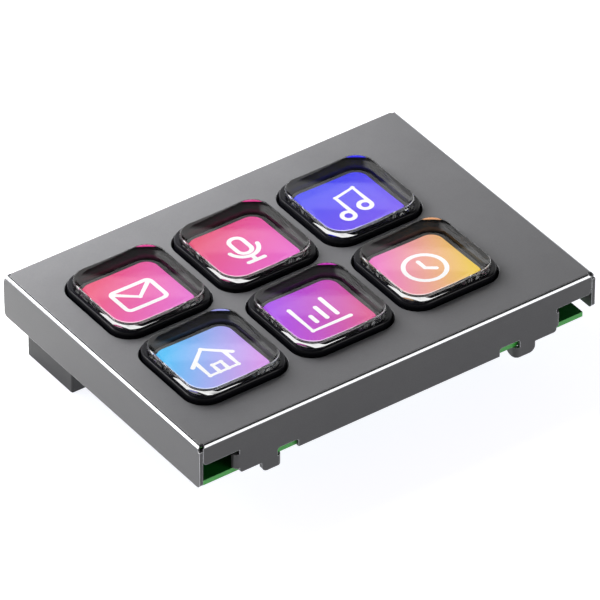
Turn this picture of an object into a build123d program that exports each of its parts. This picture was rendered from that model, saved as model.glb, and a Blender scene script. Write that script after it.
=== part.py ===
from build123d import *
import os

# Key module: a bent sheet cover over a stack of boards, with six display keys.
# Millimetres. X runs along the long edge, Y to the back, Z up from the foot of the port housing.

# Keys
columns = 3
rows = 2
key_pitch = 22.5
hole_size = 20.8
hole_corner_radius = 4.3
key_gap = 0.4                   # around the skirt, in the cover
key_travel = 0.9
skirt_rise = 1.1                # above the face
skirt_ledge = 0.7               # left around the lens
skirt_edge_radius = 0.3
skirt_floor = 1.1               # thickness under the lens
lens_rise = 2.3                 # above the face, at the middle of a side
lens_seat_drop = 0.8            # underside of the lens below the face
lens_seat_width = 0.95          # of the ledge in the skirt, under the edge of the lens
lens_fit = 0.05
lens_rim_radius = 0.5
dish_radius = 200.0
lug_width = 6.0
lug_reach = 0.45                # past the edge of the hole, under the cover
lug_clearance = 0.05
guide_clearance = 0.3
lug_slot_clearance = 0.15
pocket_floor_clearance = 0.3    # under a lug at full travel
spring_squashed_height = 1.1
spring_wall = 1.1
spring_clearance = 0.15         # from the outside of the skirt, inwards

# Displays
display_thickness = 1.4
display_clearance = 0.4         # to the skirt around it
press_clearance = 0.2           # between lens and display at full travel
display_base_inset = 0.6
tail_width = 6.0
tail_thickness = 0.2
tail_inset = 1.4                # from the back edge of the display
tail_clearance = 0.3
connector_length = 8.0
connector_width = 2.4
connector_height = 1.2

# Sheet cover; the margins run from its edges to the key holes
margin_left = 5.6
margin_right = 12.6
margin_front = 8.35
margin_back = 7.85
sheet = 0.7
bend_radius = 0.8               # outside of the folds along the four edges
hole_bevel = 0.15               # along the upper edge of a key hole
fold_gap = 0.1                  # between a long flange and the end flange beside it
left_flange_rise = 0.25         # lower edge above the underside of the main board
right_flange_rise = 1.65
end_corner_radius = 0.9
corner_relief_radius = 0.42
corner_notch_width = 0.5
corner_notch_depth = 1.1

# Long flanges, alike at front and back
window_length = 7.5             # from the end of the flange
window_strip = 4.2              # height of the strip left above a window
strip_corner_radius = 0.8
flange_corner_radius = 0.6
tab_bend_radius = 1.0
window_tab_step = 1.0           # top of the window's bent tab below the strip
window_tab_reach = 1.2          # inward, from the outside of the flange
hook_setback = 4.6              # from the window
hook_width = 3.3
hook_depth = 2.1                # below the main board
hook_corner_radius = 1.2
hook_reach = 2.95
hook_tip_radius = 1.6
notch_width = 4.4
notch_rise = 1.7                # top of the notch above the underside of the main board
notch_corner_radius = 0.5

# Stack between the cover and the main board
key_board_thickness = 1.0
spacer_height = 3.25
board_thickness = 1.0
board_edge_gap = 0.1            # to the inside of the long flanges
board_left_gap = 0.2
board_right_gap = 1.3
carrier_margin = 3.35           # around the key holes

# Screws and spacers
screw_radius = 0.8
screw_clearance = 0.1
screw_head_radius = 1.5
screw_head_height = 1.0
screw_driver_radius = 0.6
screw_grip = 2.2                # into the carrier
spacer_radius = 1.6
spacer_edge_gap = 1.75          # centre of a spacer from the edge of the nearest key hole

# Board to board connector
header_length = 14.0
header_width = 5.0
header_wall = 1.0
header_height = 2.2
plug_clearance = 0.05

# Port housing and its socket, at the back left corner
port_height = 6.6               # below the main board
port_left = 2.0                 # inside the outer face of the left flange
port_back = 4.05                # inside the outer face of the back flange
port_length = 8.5
port_width = 13.8
port_corner_radius = 0.4
port_peg_radius = 0.6
port_peg_height = 0.8
port_peg_clearance = 0.05
port_peg_inset = 1.4
socket_length = 8.94
socket_width = 3.16
socket_corner_radius = 1.5
socket_wall = 0.31
socket_recess = 0.3
socket_base_height = 1.3
tongue_length = 6.7
tongue_thickness = 0.7
tongue_recess = 0.6

# Threaded mounting nuts under the main board
nut_port_gap = 1.0              # from the side of the port housing
nut_inset = 7.75                # from the outside of the long flanges
nut_radius = 2.5
nut_height = 2.5
nut_thread_radius = 1.05

# Chips under the main board: length, width, height, then the middle,
# in X from the side of the port housing and in Y from the middle of the board
chips = {
    "mcu": (7.0, 7.0, 0.9, 23.5, -3.0),
    "flash_chip": (5.2, 4.0, 1.7, 12.5, -4.0),
    "regulator": (6.5, 3.5, 1.6, 12.0, 15.0),
    "crystal": (3.2, 2.5, 0.8, 23.5, -10.0),
    "inductor": (4.0, 4.0, 2.0, 4.5, 14.0),
}
capacitor_size = (1.6, 0.8, 0.8)
resistor_size = (1.6, 0.8, 0.45)
small_part_pitch = 2.2
# first place in X and Y of each row, as for the chips, and how many stand in it
capacitor_rows = ((19.5, 3.2), (8.5, 19.5))
capacitor_counts = (7, 4)
resistor_rows = ((37.5, -6.0), (37.5, 6.5))
resistor_counts = (8, 6)

# Heights
carrier_height = lens_seat_drop + skirt_floor + key_travel + spring_squashed_height - sheet
board_bottom = port_height
board_top = board_bottom + board_thickness
key_board_bottom = board_top + spacer_height
key_board_top = key_board_bottom + key_board_thickness
cover_inside = key_board_top + carrier_height
face = cover_inside + sheet
lens_seat = face - lens_seat_drop
skirt_bottom = lens_seat - skirt_floor
display_top = lens_seat - key_travel - press_clearance
display_bottom = display_top - display_thickness

# Half sizes of a key, from the hole inwards
hole_half = hole_size / 2
skirt_half = hole_half - key_gap
skirt_corner_radius = hole_corner_radius - key_gap
lens_half = skirt_half - skirt_ledge
lens_corner_radius = skirt_corner_radius
window_half = lens_half - lens_seat_width
window_corner_radius = lens_corner_radius - lens_seat_width
pocket_half = skirt_half + guide_clearance
pocket_corner_radius = skirt_corner_radius + guide_clearance
display_half = window_half - display_clearance
tail_offset = display_half - tail_inset

# Cover and key grid, about the middle of the cover
grid_half_x = (columns - 1) / 2 * key_pitch + hole_half
grid_half_y = (rows - 1) / 2 * key_pitch + hole_half
cover_length = margin_left + 2 * grid_half_x + margin_right
cover_width = margin_front + 2 * grid_half_y + margin_back
key_grid_x = (margin_left - margin_right) / 2
key_grid_y = (margin_front - margin_back) / 2
inside_half_x = cover_length / 2 - sheet
inside_half_y = cover_width / 2 - sheet
flange_end = inside_half_x - fold_gap
window_start = flange_end - window_length
hook_end = window_start - hook_setback
hook_start = hook_end - hook_width

# Places
key_places = [
    (key_grid_x + (column - (columns - 1) / 2) * key_pitch, key_grid_y + ((rows - 1) / 2 - row) * key_pitch)
    for row in range(rows)
    for column in range(columns)
]
screw_places = [
    (key_grid_x + (column - columns / 2 + 1) * key_pitch, key_grid_y + side * (grid_half_y + spacer_edge_gap))
    for column in range(columns - 1)
    for side in (-1, 1)
] + [(key_grid_x + side * (grid_half_x + spacer_edge_gap), key_grid_y) for side in (-1, 1)]
port_x = -cover_length / 2 + port_left + port_length / 2
port_y = cover_width / 2 - port_back - port_width / 2
port_side = port_x + port_length / 2
peg_places = [(port_x, port_y + side * (port_width / 2 - port_peg_inset)) for side in (-1, 1)]
nut_x = -(port_side + nut_port_gap + nut_radius)
nut_y = cover_width / 2 - nut_inset
nut_places = [(x_side * nut_x, y_side * nut_y) for x_side in (-1, 1) for y_side in (-1, 1)]


def block(x_low, x_high, y_low, y_high, z_low, z_high):
    """Plain block between its faces."""
    middle = ((x_low + x_high) / 2, (y_low + y_high) / 2, (z_low + z_high) / 2)
    return Pos(*middle) * Box(x_high - x_low, y_high - y_low, z_high - z_low)


def cushion_prism(half, corner, z_low, z_high, place=(0, 0)):
    """Upright prism on a square with rounded corners."""
    outline = RectangleRounded(2 * half, 2 * half, corner)
    return Pos(place[0], place[1], z_low) * extrude(outline, z_high - z_low)


def post(radius, z_low, z_high, place=(0, 0)):
    """Upright cylinder between two heights."""
    return Pos(place[0], place[1], (z_low + z_high) / 2) * Cylinder(radius, z_high - z_low)


def channel(length, width, depth):
    """Sheet folded down along its two edges at y = +/- width / 2, open at its ends."""
    outer = block(-length / 2, length / 2, -width / 2, width / 2, face - depth, face)
    outer = fillet(outer.edges().filter_by(Axis.X).group_by(Axis.Z)[-1], bend_radius)
    inside = width / 2 - sheet
    inner = block(-length, length, -inside, inside, face - 2 * depth, cover_inside)
    return outer - fillet(inner.edges().filter_by(Axis.X).group_by(Axis.Z)[-1], bend_radius - sheet)


def flange_panel(x_low, x_high, z_low, z_high, left_radius=0.0, right_radius=0.0):
    """Upright rectangle in the XZ plane, with its lower corners rounded."""
    panel = Pos((x_low + x_high) / 2, (z_low + z_high) / 2) * Rectangle(x_high - x_low, z_high - z_low)
    for side, radius in ((0, left_radius), (-1, right_radius)):
        if radius:
            panel = fillet(panel.vertices().group_by(Axis.Y)[0].sort_by(Axis.X)[side], radius)
    return panel


def long_flange_outline():
    """Outline of both long flanges: strip, windows, hooks and the notches beside the hooks."""
    hook_bottom = board_bottom - hook_depth
    notch_top = board_bottom + notch_rise
    outline = flange_panel(
        -flange_end, flange_end, face - window_strip, face, strip_corner_radius, strip_corner_radius
    )
    outline += flange_panel(
        -window_start, window_start, board_bottom, face, flange_corner_radius, flange_corner_radius
    )
    right = flange_panel(hook_start, hook_end, hook_bottom, notch_top, 0.0, hook_corner_radius)
    left = flange_panel(-hook_end, -hook_start, hook_bottom, notch_top, hook_corner_radius, 0.0)
    outline += right + left
    notch = RectangleRounded(notch_width, 2 * notch_rise, notch_corner_radius)
    for side in (-1, 1):
        outline -= Pos(side * (hook_start - notch_width / 2), board_bottom) * notch
    return outline


def bent_tab(start, reach, z_low, z_high):
    """Tab bent inward from the front flange, going round towards +X from start."""
    inner_radius = tab_bend_radius - sheet
    centre_y = -cover_width / 2 + tab_bend_radius
    quarter = Circle(tab_bend_radius) - Circle(inner_radius)
    quarter &= Pos(tab_bend_radius / 2, -tab_bend_radius / 2) * Rectangle(tab_bend_radius, tab_bend_radius)
    straight = reach - tab_bend_radius
    quarter += Pos(tab_bend_radius - sheet / 2, straight / 2) * Rectangle(sheet, straight)
    return Pos(start, centre_y, z_low) * extrude(quarter, z_high - z_low)


def hook_tab():
    """Lower tab that reaches under the main board, rounded at its inner corner."""
    tab = bent_tab(-hook_start, hook_reach, board_bottom - hook_depth, board_bottom)
    corner = tab.edges().filter_by(Axis.X).group_by(Axis.Z)[0].sort_by(Axis.Y)[-1]
    return fillet(corner, hook_tip_radius)


def make_cover():
    """Folded cover: face with key holes, two plain end flanges and two cut-out long flanges."""
    deepest = face - board_bottom + hook_depth
    long_sides = channel(2 * flange_end, cover_width, deepest)
    long_sides &= extrude(Plane.XZ * long_flange_outline(), cover_width, both=True)
    ends = Rot(0, 0, 90) * channel(cover_width, cover_length, face - board_bottom)
    ends &= Rot(0, 0, 90) * extrude(Plane.XZ * flange_panel(
        -cover_width / 2, cover_width / 2, board_bottom, face, end_corner_radius, end_corner_radius
    ), cover_length, both=True)
    for side, rise in ((-1, left_flange_rise), (1, right_flange_rise)):
        lower_edge = Rot(0, 0, 90) * extrude(Plane.XZ * flange_panel(
            -cover_width / 2, cover_width / 2, board_bottom + rise, face, end_corner_radius, end_corner_radius
        ), cover_length, both=True)
        half = block(0, cover_length, -cover_width, cover_width, 0, face)
        ends -= (half if side > 0 else half.mirror(Plane.YZ)) - lower_edge
    ends -= block(-flange_end, flange_end, -cover_width, cover_width, board_bottom, face)
    cover = long_sides + ends
    tab_top = face - window_strip - window_tab_step
    window_tab = bent_tab(window_start, window_tab_reach, board_top, tab_top)
    for tab in (window_tab, hook_tab()):
        for other in (tab, tab.mirror(Plane.YZ)):
            cover += other
            cover += other.mirror(Plane.XZ)
    notch_y = cover_width / 2 - corner_notch_width
    for x_side in (-1, 1):
        for y_side in (-1, 1):
            notch = block(flange_end, cover_length, notch_y, cover_width, face - corner_notch_depth, face)
            notch += post(corner_relief_radius, face - corner_notch_depth, face, (flange_end, notch_y))
            notch = notch if x_side > 0 else notch.mirror(Plane.YZ)
            cover -= notch if y_side > 0 else notch.mirror(Plane.XZ)
    for place in key_places:
        cover -= cushion_prism(hole_half, hole_corner_radius, cover_inside - sheet, face + sheet, place)
    rims = [edge for wire in cover.faces().sort_by(Axis.Z)[-1].inner_wires() for edge in wire.edges()]
    return chamfer(rims, hole_bevel)


def make_lens(place):
    """Clear block with a dished top, flat underneath, which stops just above the display when pressed."""
    middle_drop = dish_radius - (dish_radius**2 - lens_half**2) ** 0.5
    top = face + lens_rise
    lens = cushion_prism(lens_half, lens_corner_radius, lens_seat, top + middle_drop)
    lens -= Pos(0, 0, top - middle_drop + dish_radius) * Sphere(dish_radius)
    rim = lens.faces().sort_by(Axis.Z)[-1].outer_wire().edges()
    return Pos(*place, 0) * fillet(rim, lens_rim_radius)


def make_skirt(place):
    """Opaque ring that carries the lens on a ledge, with four lugs that stop it under the cover."""
    skirt = cushion_prism(skirt_half, skirt_corner_radius, skirt_bottom, face + skirt_rise)
    skirt = fillet(skirt.faces().sort_by(Axis.Z)[-1].outer_wire().edges(), skirt_edge_radius)
    reach = hole_half + lug_reach
    lug_top = cover_inside - lug_clearance
    skirt += block(-reach, reach, -lug_width / 2, lug_width / 2, skirt_bottom, lug_top)
    skirt += block(-lug_width / 2, lug_width / 2, -reach, reach, skirt_bottom, lug_top)
    skirt -= cushion_prism(window_half, window_corner_radius, skirt_bottom - skirt_floor, face)
    skirt -= cushion_prism(
        lens_half + lens_fit, lens_corner_radius + lens_fit, lens_seat, face + skirt_rise + skirt_floor
    )
    return Pos(*place, 0) * skirt


def make_spring(place):
    """Silicone ring under the skirt, around the display."""
    half = skirt_half - spring_clearance
    corner = skirt_corner_radius - spring_clearance
    ring = cushion_prism(half, corner, key_board_top, skirt_bottom)
    ring -= cushion_prism(half - spring_wall, corner - spring_wall, 0, face)
    return Pos(*place, 0) * ring


def make_display(place):
    """Small display tile with rounded corners, clear of the skirt that moves around it."""
    corner = window_corner_radius - display_clearance
    return cushion_prism(display_half, corner, display_bottom, display_top, place)


def make_display_bases():
    """Blocks that carry the displays, cut back where the flexible tails go down."""
    half = display_half - display_base_inset
    back = tail_offset - tail_thickness / 2 - tail_clearance
    return [
        Pos(*place, 0) * block(-half, half, -half, back, key_board_top, display_bottom)
        for place in key_places
    ]


def make_display_tails():
    """Flexible tails from the displays through the key board to their connectors."""
    low = key_board_bottom - connector_height / 2
    y_low = tail_offset - tail_thickness / 2
    tail = block(-tail_width / 2, tail_width / 2, y_low, y_low + tail_thickness, low, display_bottom)
    return [Pos(*place, 0) * tail for place in key_places]


def make_display_connectors():
    """Connectors under the key board, one for each display's tail."""
    low = key_board_bottom - connector_height
    body = block(
        -connector_length / 2, connector_length / 2, tail_offset - connector_width / 2,
        tail_offset + connector_width / 2, low, key_board_bottom,
    )
    slot = block(
        -tail_width / 2, tail_width / 2, tail_offset - tail_thickness / 2,
        tail_offset + tail_thickness / 2, low + connector_height / 2, key_board_bottom,
    )
    return [Pos(*place, 0) * (body - slot) for place in key_places]


def stack_plate(z_low, z_high):
    """Plate over the key grid, the outline that the carrier and the key board share."""
    half_x = grid_half_x + carrier_margin
    half_y = grid_half_y + carrier_margin
    return block(
        key_grid_x - half_x, key_grid_x + half_x, key_grid_y - half_y, key_grid_y + half_y, z_low, z_high
    )


def make_carrier():
    """Moulded grid that guides the keys and spaces the cover from the key board."""
    carrier = stack_plate(key_board_top, cover_inside)
    reach = hole_half + lug_reach + lug_slot_clearance
    half_slot = lug_width / 2 + guide_clearance
    slot_floor = skirt_bottom - key_travel - pocket_floor_clearance
    pocket = cushion_prism(pocket_half, pocket_corner_radius, 0, face)
    pocket += block(-reach, reach, -half_slot, half_slot, slot_floor, face)
    pocket += block(-half_slot, half_slot, -reach, reach, slot_floor, face)
    for place in key_places:
        carrier -= Pos(*place, 0) * pocket
    for place in screw_places:
        carrier -= post(screw_radius, 0, key_board_top + screw_grip, place)
    return carrier


def make_key_board():
    """Upper board under the keys, slotted for the display tails."""
    board = stack_plate(key_board_bottom, key_board_top)
    half_length = tail_width / 2 + tail_clearance
    half_width = tail_thickness / 2 + tail_clearance
    slot = block(
        -half_length, half_length, tail_offset - half_width, tail_offset + half_width, 0, face
    )
    for place in key_places:
        board -= Pos(*place, 0) * slot
    for place in screw_places:
        board -= post(screw_radius + screw_clearance, 0, face, place)
    return board


def make_main_board():
    """Lower board, held between the hooks and the window tabs of the cover."""
    half_y = inside_half_y - board_edge_gap
    board = block(
        -inside_half_x + board_left_gap, inside_half_x - board_right_gap, -half_y, half_y,
        board_bottom, board_top,
    )
    for place in screw_places:
        board -= post(screw_radius + screw_clearance, 0, face, place)
    for place in nut_places:
        board -= post(nut_thread_radius, 0, face, place)
    for place in peg_places:
        board -= post(port_peg_radius + port_peg_clearance, 0, face, place)
    return board


def make_spacers():
    """Tubes between the two boards."""
    tube = post(spacer_radius, board_top, key_board_bottom)
    tube -= post(screw_radius + screw_clearance, 0, face)
    return [Pos(*place, 0) * tube for place in screw_places]


def make_screws():
    """Screws from under the main board, through the spacers, into the carrier."""
    screw = post(screw_radius, board_bottom, key_board_top + screw_grip)
    head = post(screw_head_radius, board_bottom - screw_head_height, board_bottom)
    socket = RegularPolygon(screw_driver_radius, 6)
    drive = Pos(0, 0, board_bottom - screw_head_height) * extrude(socket, screw_head_height / 2)
    return [Pos(*place, 0) * (screw + head - drive) for place in screw_places]


def header_place():
    """Middle of the web between the last two columns of keys."""
    return Pos(key_grid_x + (columns / 2 - 1) * key_pitch, key_grid_y, 0)


def make_board_header():
    """Lower half of the board to board connector: a box with a slot."""
    body = Box(header_width, header_length, header_height)
    slot = Box(header_width - 2 * header_wall, header_length - 2 * header_wall, header_height)
    body -= Pos(0, 0, header_wall) * slot
    return header_place() * Pos(0, 0, board_top + header_height / 2) * body


def make_board_plug():
    """Upper half of the board to board connector, with the tongue in the header's slot."""
    header_top = board_top + header_height
    half_x = header_width / 2
    half_y = header_length / 2
    inset = header_wall + plug_clearance
    plug = block(-half_x, half_x, -half_y, half_y, header_top, key_board_bottom)
    plug += block(
        inset - half_x, half_x - inset, inset - half_y, half_y - inset,
        board_top + header_wall + plug_clearance, header_top,
    )
    return header_place() * plug


def socket_prism(inset, z_low, z_high):
    """Long rounded prism of the socket, stepped in from its outside."""
    corner = socket_corner_radius - inset
    outline = RectangleRounded(socket_width - 2 * inset, socket_length - 2 * inset, corner)
    return Pos(port_x, port_y, z_low) * extrude(outline, z_high - z_low)


def make_port_housing():
    """Block under the main board around the downward socket, with two pegs in the board."""
    housing = Pos(port_x, port_y, port_height / 2) * Box(port_length, port_width, port_height)
    housing = fillet(housing.edges().filter_by(Axis.Z), port_corner_radius)
    housing -= socket_prism(0, -port_height, port_height)
    for place in peg_places:
        housing += post(port_peg_radius, board_bottom, board_bottom + port_peg_height, place)
    return housing


def make_socket_shell():
    """Metal shell of the socket, open downwards."""
    shell = socket_prism(0, socket_recess, port_height)
    return shell - socket_prism(socket_wall, 0, port_height)


def make_socket_tongue():
    """Insulator that closes the shell at the board, with the contact tongue."""
    base = socket_prism(socket_wall, port_height - socket_base_height, port_height)
    tongue_low = socket_recess + tongue_recess
    tongue = Box(tongue_thickness, tongue_length, port_height - tongue_low)
    return base + Pos(port_x, port_y, (port_height + tongue_low) / 2) * tongue


def make_nuts():
    """Threaded mounting nuts soldered under the main board."""
    nut = post(nut_radius, board_bottom - nut_height, board_bottom)
    nut = chamfer(nut.edges().group_by(Axis.Z)[0], sheet / 2)
    nut -= post(nut_thread_radius, 0, board_bottom)
    return [Pos(*place, 0) * nut for place in nut_places]


def make_chip(length, width, height, x, y):
    """Chip seated on the underside of the main board."""
    return Pos(port_side + x, y, board_bottom - height / 2) * Box(length, width, height)


def make_small_parts(size, rows, counts):
    """Rows of like small parts on the underside of the main board."""
    return [
        make_chip(*size, first + index * small_part_pitch, y)
        for (first, y), count in zip(rows, counts)
        for index in range(count)
    ]


def build():
    """Every node of the module by name, as one solid or a list of like solids."""
    nodes = {"cover": make_cover()}
    for number, place in enumerate(key_places, start=1):
        nodes[f"key_lens_{number}"] = make_lens(place)
        nodes[f"key_skirt_{number}"] = make_skirt(place)
        nodes[f"key_spring_{number}"] = make_spring(place)
        nodes[f"display_{number}"] = make_display(place)
    nodes["display_bases"] = make_display_bases()
    nodes["display_tails"] = make_display_tails()
    nodes["display_connectors"] = make_display_connectors()
    nodes["key_carrier"] = make_carrier()
    nodes["key_board"] = make_key_board()
    nodes["main_board"] = make_main_board()
    nodes["board_spacers"] = make_spacers()
    nodes["stack_screws"] = make_screws()
    nodes["board_header"] = make_board_header()
    nodes["board_plug"] = make_board_plug()
    nodes["port_housing"] = make_port_housing()
    nodes["socket_shell"] = make_socket_shell()
    nodes["socket_tongue"] = make_socket_tongue()
    nodes["mounting_nuts"] = make_nuts()
    for name, size_and_place in chips.items():
        nodes[name] = make_chip(*size_and_place)
    nodes["capacitors"] = make_small_parts(capacitor_size, capacitor_rows, capacitor_counts)
    nodes["resistors"] = make_small_parts(resistor_size, resistor_rows, resistor_counts)
    return nodes


os.makedirs("parts", exist_ok=True)
for name, shape in build().items():
    solids = Compound(children=shape) if isinstance(shape, list) else shape
    export_step(solids, f"parts/{name}.step")
    print(name, "written")
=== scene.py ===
import math

import bpy
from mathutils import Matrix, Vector


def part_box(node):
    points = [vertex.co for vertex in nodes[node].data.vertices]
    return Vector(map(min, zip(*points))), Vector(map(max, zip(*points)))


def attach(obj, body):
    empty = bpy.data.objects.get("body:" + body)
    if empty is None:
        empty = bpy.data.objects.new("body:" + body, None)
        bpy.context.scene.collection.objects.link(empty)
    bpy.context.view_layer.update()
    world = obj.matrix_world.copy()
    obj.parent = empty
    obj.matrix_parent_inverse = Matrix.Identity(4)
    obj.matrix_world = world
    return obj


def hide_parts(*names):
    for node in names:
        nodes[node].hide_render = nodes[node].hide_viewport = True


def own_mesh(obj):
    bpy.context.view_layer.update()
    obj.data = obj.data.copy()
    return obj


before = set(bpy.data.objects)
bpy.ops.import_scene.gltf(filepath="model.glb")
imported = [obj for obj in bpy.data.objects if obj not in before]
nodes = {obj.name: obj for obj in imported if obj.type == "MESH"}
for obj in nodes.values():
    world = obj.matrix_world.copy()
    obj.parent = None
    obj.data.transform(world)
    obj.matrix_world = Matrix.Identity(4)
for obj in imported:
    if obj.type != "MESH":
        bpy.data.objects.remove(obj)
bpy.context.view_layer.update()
mm = 0.001
keyNumbers = range(1, 7)


def fromHex(code):
    # sRGB hex to Blender's linear colour
    channels = [int(code[i:i + 2], 16) / 255 for i in (1, 3, 5)]
    return tuple(c / 12.92 if c <= 0.04045 else ((c + 0.055) / 1.055) ** 2.4 for c in channels) + (1.0,)


def addNode(tree, kind, values=None, links=None, **settings):
    # one node with its settings, socket values and incoming links
    node = tree.nodes.new(kind)
    for name, value in settings.items():
        setattr(node, name, value)
    for socket, value in (values or {}).items():
        node.inputs[socket].default_value = value
    for socket, source in (links or {}).items():
        tree.links.new(source, node.inputs[socket])
    return node


def newMaterial(name, values):
    # a material with one Principled shader
    material = bpy.data.materials.new(name)
    material.use_nodes = True
    tree = material.node_tree
    shader = tree.nodes["Principled BSDF"]
    for socket, value in values.items():
        shader.inputs[socket].default_value = value
    return material, tree, shader


def setRamp(node, stops):
    # colour ramp stops as (position, colour)
    elements = node.color_ramp.elements
    while len(elements) > 1:
        elements.remove(elements[-1])
    elements[0].position, elements[0].color = stops[0]
    for position, colour in stops[1:]:
        elements.new(position).color = colour


def dress(names, material):
    # gives CAD nodes a better material
    for name in names:
        mesh = nodes[name].data
        mesh.materials.clear()
        mesh.materials.append(material)


def nodeMiddle(name):
    low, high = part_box(name)
    return (Vector(low) + Vector(high)) / 2


print("frame loaded")

cameraView = {
    "azimuth": -35.548, "elevation": 37.560, "distance": 1.32235,
    "aim": (0.0, 0.0, 0.01175), "lens": 455.76, "sensor": 36.0, "near": 0.01,
    "across": 0.000096, "down": 0.001425,
}


def makeCamera():
    azimuth = math.radians(cameraView["azimuth"])
    elevation = math.radians(cameraView["elevation"])
    back = Vector((
        math.sin(azimuth) * math.cos(elevation), -math.cos(azimuth) * math.cos(elevation), math.sin(elevation)
    ))
    right = Vector((math.cos(azimuth), math.sin(azimuth), 0.0))
    up = back.cross(right)
    data = bpy.data.cameras.new("camera")
    data.lens = cameraView["lens"]
    data.sensor_width = cameraView["sensor"]
    data.clip_start = cameraView["near"]
    camera = bpy.data.objects.new("camera", data)
    bpy.context.scene.collection.objects.link(camera)
    camera.location = (
        Vector(cameraView["aim"]) + back * cameraView["distance"]
        + right * cameraView["across"] - up * cameraView["down"]
    )
    camera.rotation_euler = back.to_track_quat("Z", "Y").to_euler()
    bpy.context.scene.camera = camera


makeCamera()
print("camera placed")


# shares of grain and clouds in the tone, and the span of the tone that runs from dark to light
surface = {"grain": 0.45, "clouds": 0.55, "low": 0.30, "high": 0.70}


def addSurface(tree, shader, look):
    # clouds of tone and gloss over a few millimetres, and a fine grain that also stands up as relief
    coords = addNode(tree, "ShaderNodeTexCoord")
    stretch = addNode(tree, "ShaderNodeMapping", {"Scale": look.get("stretch", (1.0, 1.0, 1.0))},
                      {"Vector": coords.outputs["Object"]})
    clouds = addNode(tree, "ShaderNodeTexNoise", {
        "Scale": 1 / (look["cloudSize"] * mm), "Detail": 4.0, "Roughness": 0.6,
    }, {"Vector": coords.outputs["Object"]})
    grain = addNode(tree, "ShaderNodeTexNoise", {
        "Scale": 1 / (look["grainSize"] * mm), "Detail": 2.0, "Roughness": 0.5,
    }, {"Vector": stretch.outputs["Vector"]})
    fine = addNode(tree, "ShaderNodeMath", {1: surface["grain"]}, {
        0: grain.outputs["Fac"],
    }, operation="MULTIPLY")
    tone = addNode(tree, "ShaderNodeMath", {1: surface["clouds"]}, {
        0: clouds.outputs["Fac"], 2: fine.outputs[0],
    }, operation="MULTIPLY_ADD")
    colours = addNode(tree, "ShaderNodeValToRGB", links={"Fac": tone.outputs[0]})
    setRamp(colours, [(surface["low"], fromHex(look["dark"])), (surface["high"], fromHex(look["light"]))])
    tree.links.new(colours.outputs["Color"], shader.inputs["Base Color"])
    gloss = addNode(tree, "ShaderNodeMapRange", {
        "From Min": surface["low"], "From Max": surface["high"],
        "To Min": look["smooth"], "To Max": look["rough"],
    }, {"Value": tone.outputs[0]})
    tree.links.new(gloss.outputs["Result"], shader.inputs["Roughness"])
    relief = addNode(tree, "ShaderNodeBump", {
        "Strength": look["relief"], "Distance": look["reliefDepth"] * mm,
    }, {"Height": grain.outputs["Fac"]})
    tree.links.new(relief.outputs["Normal"], shader.inputs["Normal"])
    return coords, colours, gloss, relief


# gunmetal powder coat on folded sheet steel: satin, with the fine orange peel of the cured powder,
# rubbed bright along the cut edges, where the powder draws thin; the bright bare metal along the upward folds
# is a painted highlight of the bends
coatedSteel = {
    "dark": "#5D5D5F", "light": "#676769", "smooth": 0.36, "rough": 0.46, "cloudSize": 9.0,
    "grainSize": 0.22, "relief": 0.10, "reliefDepth": 0.02, "edgeRadius": 0.14, "wearAndHighlightColour": "#D2D3D5",
    "wearAndHighlightRoughness": 0.16, "cutFacing": (0.985, 0.90), "cutWear": 0.9, "foldFacing": (0.985, 0.93),
    "upFacing": (0.05, 0.15),
}


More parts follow.
